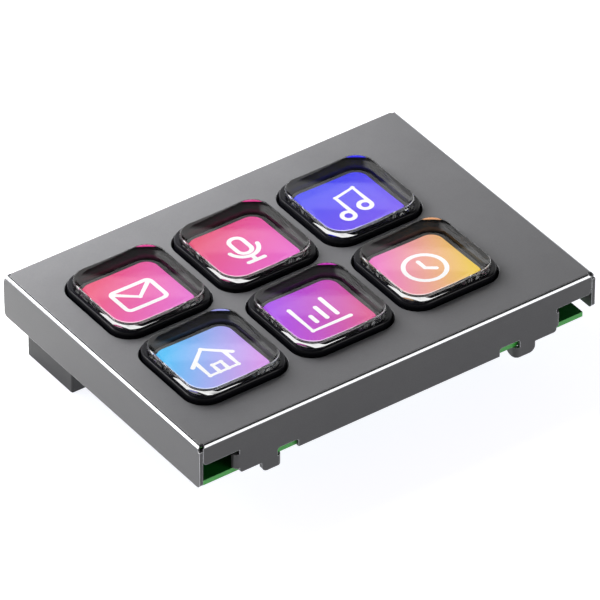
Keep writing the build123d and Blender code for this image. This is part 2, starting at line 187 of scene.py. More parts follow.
def makeCoatedSteel():
    material, tree, shader = newMaterial("powderCoatedSteel", {
        "IOR": 1.5, "Specular IOR Level": 0.35, "Coat Weight": 0.15, "Coat Roughness": 0.16,
    })
    coords, colours, gloss, relief = addSurface(tree, shader, coatedSteel)
    # cut edges: where the rounded normal leaves the flat one
    rounded = addNode(tree, "ShaderNodeBevel", {"Radius": coatedSteel["edgeRadius"] * mm}, samples=8)
    flat = addNode(tree, "ShaderNodeNewGeometry")
    same = addNode(tree, "ShaderNodeVectorMath", links={
        0: rounded.outputs["Normal"], 1: flat.outputs["Normal"],
    }, operation="DOT_PRODUCT")
    edge = addNode(tree, "ShaderNodeMapRange", {
        "From Min": coatedSteel["cutFacing"][0], "From Max": coatedSteel["cutFacing"][1],
        "To Min": 0.0, "To Max": coatedSteel["cutWear"],
    }, {"Value": same.outputs["Value"]})
    # folds, for the painted highlight: where the normal faces none of the three flat ways
    facing = addNode(tree, "ShaderNodeVectorMath", links={0: coords.outputs["Normal"]}, operation="ABSOLUTE")
    split = addNode(tree, "ShaderNodeSeparateXYZ", links={0: facing.outputs["Vector"]})
    sides = addNode(tree, "ShaderNodeMath", links={
        0: split.outputs["X"], 1: split.outputs["Y"],
    }, operation="MAXIMUM")
    most = addNode(tree, "ShaderNodeMath", links={
        0: sides.outputs[0], 1: split.outputs["Z"],
    }, operation="MAXIMUM")
    fold = addNode(tree, "ShaderNodeMapRange", {
        "From Min": coatedSteel["foldFacing"][0], "From Max": coatedSteel["foldFacing"][1],
        "To Min": 0.0, "To Max": 1.0,
    }, {"Value": most.outputs[0]}, interpolation_type="SMOOTHSTEP")
    # only where they look up, so the painted highlight lies on the upward bends and the upright bends of the
    # tabs stay coated
    upward = addNode(tree, "ShaderNodeMapRange", {
        "From Min": coatedSteel["upFacing"][0], "From Max": coatedSteel["upFacing"][1],
        "To Min": 0.0, "To Max": 1.0,
    }, {"Value": split.outputs["Z"]})
    foldHighlight = addNode(tree, "ShaderNodeMath", links={
        0: fold.outputs["Result"], 1: upward.outputs["Result"],
    }, operation="MULTIPLY")
    # bright bare metal: real wear on the cut edges, painted highlight on the upward folds
    wearAndHighlight = addNode(tree, "ShaderNodeMath", links={
        0: edge.outputs["Result"], 1: foldHighlight.outputs[0],
    }, operation="MAXIMUM")
    tint = addNode(tree, "ShaderNodeMix", {7: fromHex(coatedSteel["wearAndHighlightColour"])}, {
        0: wearAndHighlight.outputs[0], 6: colours.outputs["Color"],
    }, data_type="RGBA")
    tree.links.new(tint.outputs[2], shader.inputs["Base Color"])
    shine = addNode(tree, "ShaderNodeMix", {3: coatedSteel["wearAndHighlightRoughness"]}, {
        0: wearAndHighlight.outputs[0], 2: gloss.outputs["Result"],
    }, data_type="FLOAT")
    tree.links.new(shine.outputs[0], shader.inputs["Roughness"])
    tree.links.new(wearAndHighlight.outputs[0], shader.inputs["Metallic"])
    tree.links.new(rounded.outputs["Normal"], relief.inputs["Normal"])
    return material


# polished cast acrylic: clear to the edges, with the faintest haze of wiping in patches
clearAcrylic = {"haze": 0.002, "patch": 6.0, "hazeSpan": (0.55, 0.75)}


def makeClearAcrylic():
    material, tree, shader = newMaterial("clearAcrylic", {
        "Base Color": (1.0, 1.0, 1.0, 1.0), "IOR": 1.49, "Transmission Weight": 1.0,
    })
    coords = addNode(tree, "ShaderNodeTexCoord")
    patches = addNode(tree, "ShaderNodeTexNoise", {
        "Scale": 1 / (clearAcrylic["patch"] * mm), "Detail": 3.0,
    }, {"Vector": coords.outputs["Object"]})
    haze = addNode(tree, "ShaderNodeMapRange", {
        "From Min": clearAcrylic["hazeSpan"][0], "From Max": clearAcrylic["hazeSpan"][1],
        "To Min": 0.0, "To Max": clearAcrylic["haze"],
    }, {"Value": patches.outputs["Fac"]})
    tree.links.new(haze.outputs["Result"], shader.inputs["Roughness"])
    return material


# one look per plain finish; sizes in millimetres
finishes = {
    # glossy black ABS from a polished tool: deep, a little blue, with soft clouds in the gloss
    "glossBlackAbs": {
        "dark": "#0B0B0F", "light": "#121218", "smooth": 0.16, "rough": 0.26, "cloudSize": 5.0,
        "grainSize": 0.30, "relief": 0.05, "reliefDepth": 0.01, "fixed": {"Specular IOR Level": 0.32},
    },
    # black glass of a display tile, with its dark border
    "blackDisplayGlass": {
        "dark": "#050506", "light": "#09090B", "smooth": 0.06, "rough": 0.12, "cloudSize": 6.0,
        "grainSize": 0.20, "relief": 0.02, "reliefDepth": 0.005, "fixed": {"Specular IOR Level": 0.3},
    },
    # spark eroded black nylon: matt and faintly pebbled
    "mattBlackNylon": {
        "dark": "#0E0E10", "light": "#1A1A1D", "smooth": 0.52, "rough": 0.70, "cloudSize": 4.0,
        "grainSize": 0.14, "relief": 0.30, "reliefDepth": 0.03, "fixed": {},
    },
    # moulded epoxy of chip packages: grey black with a sandy bloom
    "chipEpoxy": {
        "dark": "#17181A", "light": "#26272A", "smooth": 0.45, "rough": 0.62, "cloudSize": 2.5,
        "grainSize": 0.09, "relief": 0.25, "reliefDepth": 0.02, "fixed": {},
    },
    # dark grey ABS of the port housing, with a fine even texture
    "darkGreyAbs": {
        "dark": "#232325", "light": "#2B2B2D", "smooth": 0.44, "rough": 0.56, "cloudSize": 5.0,
        "grainSize": 0.16, "relief": 0.22, "reliefDepth": 0.025, "fixed": {},
    },
    # bright nickel over turned or stamped steel: drawn faintly along the tool marks
    "nickelPlatedSteel": {
        "dark": "#A2A4A6", "light": "#C6C7C8", "smooth": 0.20, "rough": 0.34, "cloudSize": 2.0,
        "grainSize": 0.12, "relief": 0.12, "reliefDepth": 0.01, "stretch": (1.0, 1.0, 6.0),
        "fixed": {"Metallic": 1.0},
    },
    # reflowed tin solder and tinned pads: bright, slightly frosted
    "tinSolder": {
        "dark": "#B4B6B8", "light": "#D9DADB", "smooth": 0.18, "rough": 0.38, "cloudSize": 0.8,
        "grainSize": 0.10, "relief": 0.25, "reliefDepth": 0.02, "fixed": {"Metallic": 1.0},
    },
    # immersion gold on test pads and contacts
    "immersionGold": {
        "dark": "#C79A45", "light": "#E4BE6C", "smooth": 0.22, "rough": 0.36, "cloudSize": 1.5,
        "grainSize": 0.10, "relief": 0.15, "reliefDepth": 0.01, "fixed": {"Metallic": 1.0},
    },
    # milky grey silicone: soft, slightly cloudy, with light going a little way in
    "greySilicone": {
        "dark": "#9EA1A3", "light": "#BBBDBF", "smooth": 0.48, "rough": 0.60, "cloudSize": 3.0,
        "grainSize": 0.18, "relief": 0.15, "reliefDepth": 0.02,
        "fixed": {"Subsurface Weight": 0.25, "Subsurface Scale": 0.0006},
    },
    # amber polyimide film of the display tails
    "amberPolyimide": {
        "dark": "#9A4F12", "light": "#C97A26", "smooth": 0.18, "rough": 0.28, "cloudSize": 2.0,
        "grainSize": 0.20, "relief": 0.05, "reliefDepth": 0.01, "stretch": (6.0, 1.0, 0.4), "fixed": {},
    },
    # fired tan ceramic of the capacitors
    "tanCeramic": {
        "dark": "#8E7350", "light": "#B5976C", "smooth": 0.30, "rough": 0.44, "cloudSize": 0.7,
        "grainSize": 0.08, "relief": 0.15, "reliefDepth": 0.01, "fixed": {},
    },
    # white epoxy ink of the board's legend
    "whiteLegendInk": {
        "dark": "#D2D4D0", "light": "#ECEDEA", "smooth": 0.50, "rough": 0.64, "cloudSize": 1.2,
        "grainSize": 0.10, "relief": 0.20, "reliefDepth": 0.01, "fixed": {},
    },
    # copper tracks under the green mask: the same green, a shade lighter
    "maskedCopper": {
        "dark": "#2C9A3E", "light": "#3DAA4C", "smooth": 0.28, "rough": 0.40, "cloudSize": 3.0,
        "grainSize": 0.15, "relief": 0.10, "reliefDepth": 0.01, "fixed": {},
    },
}


def makeFinish(name):
    look = finishes[name]
    material, tree, shader = newMaterial(name, look["fixed"])
    addSurface(tree, shader, look)
    return material


# green solder mask over woven glass laminate: the weave just shows, and the cut edges are brighter
greenMask = {
    "dark": "#156A26", "light": "#1D7C30", "smooth": 0.28, "rough": 0.42, "cloudSize": 7.0,
    "grainSize": 0.25, "relief": 0.10, "reliefDepth": 0.01, "cutEdge": "#4FD052", "weave": 0.5,
    "thread": (0.86, 0.86, 0.86, 1), "gap": (0.78, 0.78, 0.78, 1), "gapWidth": 0.12, "weaveShare": 0.35,
}


def makeGreenBoard():
    material, tree, shader = newMaterial("greenSolderMask", {"Coat Weight": 0.3, "Coat Roughness": 0.12})
    coords, colours = addSurface(tree, shader, greenMask)[:2]
    weave = addNode(tree, "ShaderNodeTexBrick", {
        "Scale": 1 / (greenMask["weave"] * mm), "Color1": (1, 1, 1, 1), "Color2": greenMask["thread"],
        "Mortar": greenMask["gap"], "Mortar Size": greenMask["gapWidth"],
    }, {"Vector": coords.outputs["Object"]})
    woven = addNode(tree, "ShaderNodeMix", {0: greenMask["weaveShare"]}, {
        6: colours.outputs["Color"], 7: weave.outputs["Color"],
    }, data_type="RGBA", blend_type="MULTIPLY")
    split = addNode(tree, "ShaderNodeSeparateXYZ", links={0: coords.outputs["Normal"]})
    level = addNode(tree, "ShaderNodeMath", links={0: split.outputs["Z"]}, operation="ABSOLUTE")
    side = addNode(tree, "ShaderNodeMath", {1: 0.5}, {0: level.outputs[0]}, operation="LESS_THAN")
    cut = addNode(tree, "ShaderNodeMix", {7: fromHex(greenMask["cutEdge"])}, {
        0: side.outputs[0], 6: woven.outputs[2],
    }, data_type="RGBA")
    tree.links.new(cut.outputs[2], shader.inputs["Base Color"])
    return material


# two-colour blend of each lit display: start, end, and how far the blend runs across instead of down
blends = {
    1: ("#EE3A70", "#E960CD", 0.63), 2: ("#E72E68", "#EB53C9", 0.54), 3: ("#1C2CF7", "#6938F3", 0.21),
    4: ("#27BCF9", "#D692EB", 0.78), 5: ("#A522EB", "#DB3F88", 0.84), 6: ("#EE6CC2", "#ECC500", 0.87),
}
screen = {
    "glass": "#08080A", "reach": 7.0, "span": 1.2, "pixel": 0.12, "gapWidth": 0.1,
    "pictureGap": (0.98, 0.98, 0.98, 1), "pictureRoughness": 0.25,
    "symbolGap": (0.96, 0.96, 0.97, 1), "symbolRoughness": 0.3,
}


def addPixelRows(tree, coords, gap):
    # fine rows of pixels that show only close up
    return addNode(tree, "ShaderNodeTexBrick", {
        "Scale": 1 / (screen["pixel"] * mm), "Color1": (1, 1, 1, 1), "Color2": (1, 1, 1, 1),
        "Mortar": gap, "Mortar Size": screen["gapWidth"], "Brick Width": 1.0, "Row Height": 1.0,
    }, {"Vector": coords.outputs["Object"]}, offset=0.0)


def makeScreenPicture(number):
    start, end, across = blends[number]
    middle = nodeMiddle(f"display_{number}")
    material, tree, shader = newMaterial(f"litScreen{number}", {
        "Base Color": fromHex(screen["glass"]), "Roughness": screen["pictureRoughness"],
        "Emission Strength": 1.0,
    })
    reach = screen["reach"] * mm
    coords = addNode(tree, "ShaderNodeTexCoord")
    mapping = addNode(tree, "ShaderNodeMapping", {
        "Location": tuple(-c / reach for c in middle), "Scale": (1 / reach,) * 3,
    }, {"Vector": coords.outputs["Object"]})
    dot = addNode(tree, "ShaderNodeVectorMath", {
        1: (across, -math.sqrt(1 - across * across), 0.0),
    }, {0: mapping.outputs["Vector"]}, operation="DOT_PRODUCT")
    along = addNode(tree, "ShaderNodeMapRange", {
        "From Min": -screen["span"], "From Max": screen["span"], "To Min": 0.0, "To Max": 1.0,
    }, {"Value": dot.outputs["Value"]})
    colours = addNode(tree, "ShaderNodeValToRGB", links={"Fac": along.outputs["Result"]})
    setRamp(colours, [(0.0, fromHex(start)), (1.0, fromHex(end))])
    rows = addPixelRows(tree, coords, screen["pictureGap"])
    lit = addNode(tree, "ShaderNodeMix", {0: 1.0}, {
        6: colours.outputs["Color"], 7: rows.outputs["Color"],
    }, data_type="RGBA", blend_type="MULTIPLY")
    tree.links.new(lit.outputs[2], shader.inputs["Emission Color"])
    return material


def makeLitWhite():
    # white pixels of a symbol, with the same fine rows
    material, tree, shader = newMaterial("litWhite", {
        "Base Color": fromHex(screen["glass"]), "Roughness": screen["symbolRoughness"],
        "Emission Strength": 1.0,
    })
    rows = addPixelRows(tree, addNode(tree, "ShaderNodeTexCoord"), screen["symbolGap"])
    tree.links.new(rows.outputs["Color"], shader.inputs["Emission Color"])
    return material


clearCapMaterial = makeClearAcrylic()
made = {name: makeFinish(name) for name in finishes}
dress(["cover"], makeCoatedSteel())
dress([f"key_skirt_{n}" for n in keyNumbers], made["glossBlackAbs"])
dress([f"display_{n}" for n in keyNumbers], made["blackDisplayGlass"])
dress(["main_board", "key_board"], makeGreenBoard())
dress(["port_housing"], made["darkGreyAbs"])
dress(["key_carrier", "display_bases", "display_connectors", "board_header", "board_plug", "socket_tongue"],
      made["mattBlackNylon"])
dress(["mcu", "flash_chip", "regulator", "inductor", "resistors"], made["chipEpoxy"])
dress(["board_spacers", "stack_screws", "socket_shell", "mounting_nuts", "crystal"],
      made["nickelPlatedSteel"])
dress(["display_tails"], made["amberPolyimide"])
dress(["capacitors"], made["tanCeramic"])
print("finishes made")


def deselect():
    bpy.ops.object.select_all(action="DESELECT")


def finishPiece(piece, name, body, material):
    # names and dresses a piece, and ties it to its body and its material slot
    piece.name = name
    piece.data.name = name
    piece.data.materials.clear()
    piece.data.materials.append(material)
    deselect()
    bpy.context.view_layer.objects.active = piece
    piece.select_set(True)
    bpy.ops.object.transform_apply(location=True, rotation=True, scale=True)
    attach(piece, body)
    piece.select_set(False)


def joinAll(pieces):
    deselect()
    for piece in pieces:
        piece.select_set(True)
    bpy.context.view_layer.objects.active = pieces[0]
    bpy.ops.object.join()
    return bpy.context.object


def copyOf(first):
    # a copy with its own mesh
    piece = first.copy()
    piece.data = first.data.copy()
    bpy.context.scene.collection.objects.link(piece)
    return piece


def selectOnly(mesh, chosen):
    # selects these edges or faces of a mesh with their vertices, and nothing else
    for parts in (mesh.vertices, mesh.edges, mesh.polygons):
        for part in parts:
            part.select = False
    for part in chosen:
        part.select = True
        for index in part.vertices:
            mesh.vertices[index].select = True


def copyTo(first, places):
    # copies at (x, y, z, turn), joined to one piece; the first one goes
    copies = []
    for x, y, z, turn in places:
        piece = copyOf(first)
        piece.location = (x, y, z)
        piece.rotation_euler = (0.0, 0.0, turn)
        deselect()
        piece.select_set(True)
        bpy.context.view_layer.objects.active = piece
        bpy.ops.object.transform_apply(location=True, rotation=True, scale=True)
        copies.append(piece)
    bpy.data.objects.remove(first)
    return joinAll(copies)


def makeBlock(middle, size):
    # block with its middle and size in metres
    deselect()
    bpy.ops.mesh.primitive_cube_add(size=1, location=middle, scale=size)
    block = bpy.context.object
    bpy.ops.object.transform_apply(location=True, rotation=True, scale=True)
    return block


def roundEdges(width, segments):
    # bevels all edges of the active piece, width in millimetres
    bpy.ops.object.mode_set(mode="EDIT")
    bpy.ops.mesh.select_all(action="SELECT")
    bpy.ops.mesh.bevel(offset=width * mm, segments=segments)
    bpy.ops.object.mode_set(mode="OBJECT")


def roundedPlane(half, corner, height, segments):
    # square with rounded corners, flat at the given height, centred on the origin
    deselect()
    bpy.ops.mesh.primitive_plane_add(size=2 * half, location=(0, 0, height))
    plane = bpy.context.object
    bpy.ops.object.transform_apply(location=True, rotation=True, scale=True)
    bpy.ops.object.mode_set(mode="EDIT")
    bpy.ops.mesh.select_all(action="SELECT")
    bpy.ops.mesh.bevel(offset=corner, segments=segments, affect="VERTICES", offset_type="OFFSET")
    bpy.ops.object.mode_set(mode="OBJECT")
    return plane


lens = {
    "half": 9.3 * mm, "corner": 3.9 * mm, "seat": 14.97 * mm, "face": 15.75 * mm, "rise": 2.27 * mm,
    "rim": 0.5 * mm, "dish": 150.0 * mm, "cuts": 14, "rimStep": 11, "cornerCuts": 14, "longEdge": 4.0 * mm,
    "smoothBelow": 35,
}


def dishHeight(x, y):
    # the top of a key is part of a large sphere, lowest in its middle
    dish = lens["dish"]
    lowest = lens["face"] + lens["rise"] - (dish - math.sqrt(dish ** 2 - lens["half"] ** 2))
    return lowest + dish - math.sqrt(dish ** 2 - x * x - y * y)


def makeLensShape():
    cap = roundedPlane(lens["half"], lens["corner"], lens["seat"], lens["cornerCuts"])
    sides = []
    for edge in cap.data.edges:
        a, b = (cap.data.vertices[i].co for i in edge.vertices)
        if (a - b).length > lens["longEdge"]:
            sides.append(edge)
    selectOnly(cap.data, sides)
    bpy.ops.object.mode_set(mode="EDIT")
    bpy.ops.mesh.select_mode(type="EDGE")
    bpy.ops.mesh.subdivide(number_cuts=lens["cuts"])
    bpy.ops.mesh.select_mode(type="FACE")
    bpy.ops.mesh.select_all(action="SELECT")
    # rings up the wall, round the rim and in over the dish, as (scale, drop below the dish),
    # each one step higher until they are set down
    step = 1.0
    rings = [(1.0, 0.0)]
    rings += [(1.0 - lens["rim"] * (1 - math.cos(a)) / lens["half"], lens["rim"] * (1 - math.sin(a)))
              for a in (math.radians(d) for d in range(0, 91, lens["rimStep"]))]
    inner = rings[-1][0]
    rings += [(inner * (1 - k / lens["cuts"]), 0.0) for k in range(1, lens["cuts"])]
    scaleNow = 1.0
    for scale in [ring[0] for ring in rings[1:]]:
        bpy.ops.mesh.extrude_region_move(TRANSFORM_OT_translate={"value": (0, 0, step)})
        bpy.ops.transform.resize(value=(scale / scaleNow, scale / scaleNow, 1), center_override=(0, 0, 0))
        scaleNow = scale
    bpy.ops.mesh.extrude_region_move(TRANSFORM_OT_translate={"value": (0, 0, step)})
    bpy.ops.mesh.merge(type="CENTER")
    bpy.ops.object.mode_set(mode="OBJECT")
    for vertex in cap.data.vertices:
        ring = round((vertex.co.z - lens["seat"]) / step)
        if ring > 0:
            drop = rings[ring][1] if ring < len(rings) else 0.0
            vertex.co.z = dishHeight(vertex.co.x, vertex.co.y) - drop
    bpy.ops.object.mode_set(mode="EDIT")
    bpy.ops.mesh.select_all(action="SELECT")
    bpy.ops.mesh.normals_make_consistent(inside=False)
    bpy.ops.object.mode_set(mode="OBJECT")
    deselect()
    cap.select_set(True)
    bpy.context.view_layer.objects.active = cap
    bpy.ops.object.shade_smooth_by_angle(angle=math.radians(lens["smoothBelow"]))
    return cap


def makeLenses():
    first = makeLensShape()
    for number in keyNumbers:
        piece = copyOf(first)
        middle = nodeMiddle(f"key_lens_{number}")
        piece.location = (middle.x, middle.y, 0.0)
        finishPiece(piece, f"clear_cap_{number}", f"key_{number}", clearCapMaterial)
        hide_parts(f"key_lens_{number}")
    bpy.data.objects.remove(first)


makeLenses()
print("clear caps made")

picture = {"half": 7.75 * mm, "corner": 2.4 * mm, "cornerCuts": 10, "lift": 0.03 * mm, "thickness": 0.02 * mm}


def makePictures():
    for number in keyNumbers:
        middle = nodeMiddle(f"display_{number}")
        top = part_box(f"display_{number}")[1][2]
        foot = top + picture["lift"] - picture["thickness"]
        plate = roundedPlane(picture["half"], picture["corner"], foot, picture["cornerCuts"])
        bpy.ops.object.mode_set(mode="EDIT")
        bpy.ops.mesh.select_all(action="SELECT")
        bpy.ops.mesh.extrude_region_move(TRANSFORM_OT_translate={"value": (0, 0, picture["thickness"])})
        bpy.ops.mesh.select_all(action="SELECT")
        bpy.ops.mesh.normals_make_consistent(inside=False)
        bpy.ops.object.mode_set(mode="OBJECT")
        plate.location = (middle.x, middle.y, 0.0)
        finishPiece(plate, f"screen_picture_{number}", "module",
                    makeScreenPicture(number))


makePictures()
print("screen pictures made")


# distance in millimetres under which two points of a line are one, and the sides of its round ends
stroke = {"weld": 0.01, "sides": 16}


def makeStroke(points, width, height, z, rounded=True):
    # flat line with a given width through points in millimetres, its middle at height z
    deselect()
    bpy.ops.mesh.primitive_plane_add(size=mm, location=(0, 0, 0))
    line = bpy.context.object
    bpy.ops.object.mode_set(mode="EDIT")
    bpy.ops.mesh.select_mode(type="VERT")
    bpy.ops.mesh.select_all(action="SELECT")
    bpy.ops.mesh.merge(type="CENTER")
    bpy.ops.transform.translate(value=(points[0][0] * mm, points[0][1] * mm, 0))
    for (x, y), (xNext, yNext) in zip(points, points[1:]):
        bpy.ops.mesh.extrude_region_move(
            TRANSFORM_OT_translate={"value": ((xNext - x) * mm, (yNext - y) * mm, 0)}
        )
    bpy.ops.mesh.select_all(action="SELECT")
    bpy.ops.mesh.remove_doubles(threshold=stroke["weld"] * mm)
    bpy.ops.object.mode_set(mode="OBJECT")
    bpy.ops.object.convert(target="CURVE")
    line = bpy.context.object
    line.data.bevel_depth = width / 2 * mm
    line.data.bevel_resolution = 1
    line.data.use_fill_caps = True
    bpy.ops.object.convert(target="MESH")
    pieces = [bpy.context.object]
    for x, y in points if rounded else []:
        deselect()
        bpy.ops.mesh.primitive_cylinder_add(
            vertices=stroke["sides"], radius=width / 2 * mm, depth=width * mm,
            location=(x * mm, y * mm, 0)
        )
        pieces.append(bpy.context.object)
    line = joinAll(pieces)
    bpy.ops.object.transform_apply(location=True, rotation=True, scale=True)
    line.scale = (1.0, 1.0, height / width)
    line.location = (0.0, 0.0, z * mm)
    bpy.ops.object.transform_apply(location=True, rotation=True, scale=True)
    return line


def arc(x, y, radius, start, end, steps=20):
    # points of an arc in millimetres and degrees
    angles = [math.radians(start + (end - start) * k / steps) for k in range(steps + 1)]
    return [(x + radius * math.cos(a), y + radius * math.sin(a)) for a in angles]


def roundedFrame(x, y, width, height, corner):
    # closed outline of a rectangle with rounded corners
    right, top = width / 2 - corner, height / 2 - corner
    points = []
    for sideX, sideY, start in ((1, 1, 0), (-1, 1, 90), (-1, -1, 180), (1, -1, 270)):
        points += arc(x + sideX * right, y + sideY * top, corner, start, start + 90, 5)
    return points + points[:1]


symbols = {
    1: [roundedFrame(0, 0, 8.4, 6.2, 0.9), [(-3.7, 2.5), (0, -0.5), (3.7, 2.5)]],
    2: [roundedFrame(0, 1.4, 2.8, 5.0, 1.35), arc(0, 0.9, 3.0, 190, 350), [(0, -2.1), (0, -3.7)],
        [(-1.7, -3.7), (1.7, -3.7)]],
    3: [arc(-2.1, -2.7, 1.2, 0, 360), [(-0.9, -2.7), (-0.9, 3.0), (3.5, 3.9), (3.5, -1.7)],
        arc(2.3, -1.7, 1.2, 0, 360)],
    4: [[(-4.2, 0.2), (0, 3.9), (4.2, 0.2)], [(-3.0, 1.0), (-3.0, -3.4), (3.0, -3.4), (3.0, 1.0)],
        [(-0.9, -3.4), (-0.9, -1.0), (0.9, -1.0), (0.9, -3.4)]],
    5: [[(-4.0, 3.8), (-4.0, -3.5), (4.1, -3.5)], [(-1.8, -1.6), (-1.8, 0.3)], [(0.4, -1.6), (0.4, 2.0)],
        [(2.6, -1.6), (2.6, 3.6)]],
    6: [arc(0, 0, 3.9, 0, 360, 28), [(0, 2.1), (0, 0), (1.6, -1.2)]],
}
symbolLine = {"width": 0.86, "height": 0.02, "lift": 0.05}


def makeSymbols():
    white = makeLitWhite()
    for number in keyNumbers:
        middle = nodeMiddle(f"display_{number}")
        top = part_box(f"display_{number}")[1][2] / mm + symbolLine["lift"]
        symbol = joinAll([makeStroke(points, symbolLine["width"], symbolLine["height"], top)
                          for points in symbols[number]])
        symbol.location = (middle.x, middle.y, 0.0)
        finishPiece(symbol, f"screen_symbol_{number}", "module", white)


makeSymbols()
print("symbols made")

# folds: rise and inward step of each, in millimetres, from the board up to the skirt
spring = {
    "half": 9.85 * mm, "corner": 3.75 * mm, "cornerCuts": 8, "wall": 1.0 * mm, "gap": 0.02 * mm, "keep": 0.55,
    "smoothBelow": 40,
    "folds": ((0.25, 0.0), (0.25, 0.0), (0.48, 0.28), (0.48, 0.0), (0.25, 0.0), (0.25, 0.0)),
}


def makeSprings():
    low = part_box("key_spring_1")[0]
    ring = roundedPlane(spring["half"], spring["corner"], low[2] + spring["gap"], spring["cornerCuts"])
    bpy.ops.object.mode_set(mode="EDIT")
    bpy.ops.mesh.select_mode(type="FACE")
    bpy.ops.mesh.select_all(action="SELECT")
    bpy.ops.mesh.inset(thickness=spring["wall"])
    bpy.ops.mesh.delete(type="FACE")
    bpy.ops.mesh.select_all(action="SELECT")
    stepNow = 0.0
    for rise, step in spring["folds"]:
        bpy.ops.mesh.extrude_region_move(TRANSFORM_OT_translate={"value": (0, 0, rise * mm)})
        scale = (spring["half"] - step * mm) / (spring["half"] - stepNow * mm)
        bpy.ops.transform.resize(value=(scale, scale, 1), center_override=(0, 0, 0))
        stepNow = step
    bpy.ops.mesh.select_all(action="SELECT")
    bpy.ops.mesh.normals_make_consistent(inside=False)
    bpy.ops.object.mode_set(mode="OBJECT")
    bpy.ops.object.shade_smooth_by_angle(angle=math.radians(spring["smoothBelow"]))
    for number in keyNumbers:
        piece = copyOf(ring)
        middle = nodeMiddle(f"key_spring_{number}")
        piece.location = (middle.x, middle.y, 0.0)
        finishPiece(piece, f"silicone_spring_{number}", "module", made["greySilicone"])
        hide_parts(f"key_spring_{number}")
        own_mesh(piece)
    bpy.data.objects.remove(ring)


makeSprings()
print("springs made")

# parts under the main board, in millimetres; each lead is foot, riser and shoulder from the package out
leads = {
    "mcu": {"pitch": 0.5, "width": 0.24, "foot": 0.45, "riser": 0.15, "shoulder": 0.25, "rise": 0.35,
            "counts": {0: 12, 90: 12, 180: 12, 270: 12}},
    "flash_chip": {"pitch": 1.27, "width": 0.42, "foot": 0.5, "riser": 0.2, "shoulder": 0.3, "rise": 0.8,
                   "counts": {90: 4, 270: 4}},
    "regulator": {"pitch": 2.3, "width": 0.75, "foot": 0.8, "riser": 0.2, "shoulder": 0.4, "rise": 0.7,
                  "counts": {270: 3}},
    "regulator_tab": {"pitch": 1.0, "width": 3.0, "foot": 0.8, "riser": 0.2, "shoulder": 0.4, "rise": 0.7,
                      "counts": {90: 1}},
}
lead = {"thickness": 0.14, "root": 0.1, "round": 0.03}


def makeLead(values, board):
    # bent flat lead that points along +X, its shoulder starting in the package at x = 0
    foot, riser, shoulder = (values[key] * mm for key in ("foot", "riser", "shoulder"))
    thickness = lead["thickness"] * mm
    strip = makeBlock((shoulder + riser + foot / 2, 0, board - thickness / 2),
                      (foot, values["width"] * mm, thickness))
    selectOnly(strip.data, [face for face in strip.data.polygons if face.normal.x < -0.5])
    bpy.ops.object.mode_set(mode="EDIT")
    bpy.ops.mesh.select_mode(type="FACE")
    bpy.ops.mesh.extrude_region_move(TRANSFORM_OT_translate={"value": (-riser, 0, -values["rise"] * mm)})
    bpy.ops.mesh.extrude_region_move(TRANSFORM_OT_translate={"value": (-shoulder - lead["root"] * mm, 0, 0)})
    bpy.ops.mesh.select_all(action="SELECT")
    bpy.ops.mesh.bevel(offset=lead["round"] * mm, segments=1)
    bpy.ops.object.mode_set(mode="OBJECT")
    return strip


def makeLeads():
    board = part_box("main_board")[0][2]
    for name, values in leads.items():
        chip = name.replace("_tab", "")
        low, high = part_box(chip)
        middle = nodeMiddle(chip)
        places = []
        for side, count in values["counts"].items():
            angle = math.radians(side)
            reach = (high[0] - low[0] if side % 180 == 0 else high[1] - low[1]) / 2
            out = Vector((math.cos(angle), math.sin(angle)))
            along = Vector((-out.y, out.x))
            for k in range(count):
                spot = out * reach + along * (k - (count - 1) / 2) * values["pitch"] * mm
                places.append((middle.x + spot.x, middle.y + spot.y, 0.0, angle))
        finishPiece(copyTo(makeLead(values, board), places), f"{name}_leads", "module",
                    made["tinSolder"])


makeLeads()

smallParts = {
    "capacitors": {"rows": ((-12.0, 3.2, 7), (-23.0, 19.5, 4)), "height": 0.8, "end": 0.36},
    "resistors": {"rows": ((6.0, -6.0, 8), (6.0, 6.5, 6)), "height": 0.45, "end": 0.3},
}
smallPart = {
    "pitch": 2.2, "half": 0.8, "halfWidth": 0.4, "wrap": 0.03, "endRound": 0.05, "fillet": 0.32,
    "filletHeight": 0.24, "filletRound": 0.11,
}


def makeEnds():
    # plated ends of the small parts, each on its fillet of solder
    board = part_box("main_board")[0][2] / mm
    for name, values in smallParts.items():
        wrap = smallPart["wrap"]
        low = board - values["height"] - wrap
        length = values["end"] + wrap
        end = makeBlock(
            ((smallPart["half"] + wrap - length / 2) * mm, 0, (low + board) / 2 * mm),
            (length * mm, 2 * (smallPart["halfWidth"] + wrap) * mm, (board - low) * mm)
        )
        roundEdges(smallPart["endRound"], 2)
        fillet, height = smallPart["fillet"], smallPart["filletHeight"]
        solder = makeBlock(
            ((smallPart["half"] + fillet / 2) * mm, 0, (board - height / 2) * mm),
            (2 * fillet * mm, 2 * smallPart["halfWidth"] * mm, height * mm)
        )
        roundEdges(smallPart["filletRound"], 3)
        end = joinAll([end, solder])
        places = [((x + k * smallPart["pitch"]) * mm, y * mm, 0.0, turn)
                  for x, y, count in values["rows"] for k in range(count) for turn in (0.0, math.pi)]
        finishPiece(copyTo(end, places), f"{name}_ends", "module", made["tinSolder"])


makeEnds()

tracks = {"width": 0.28, "height": 0.05, "legendWidth": 0.16, "legendHeight": 0.03, "legendCorner": 0.3}
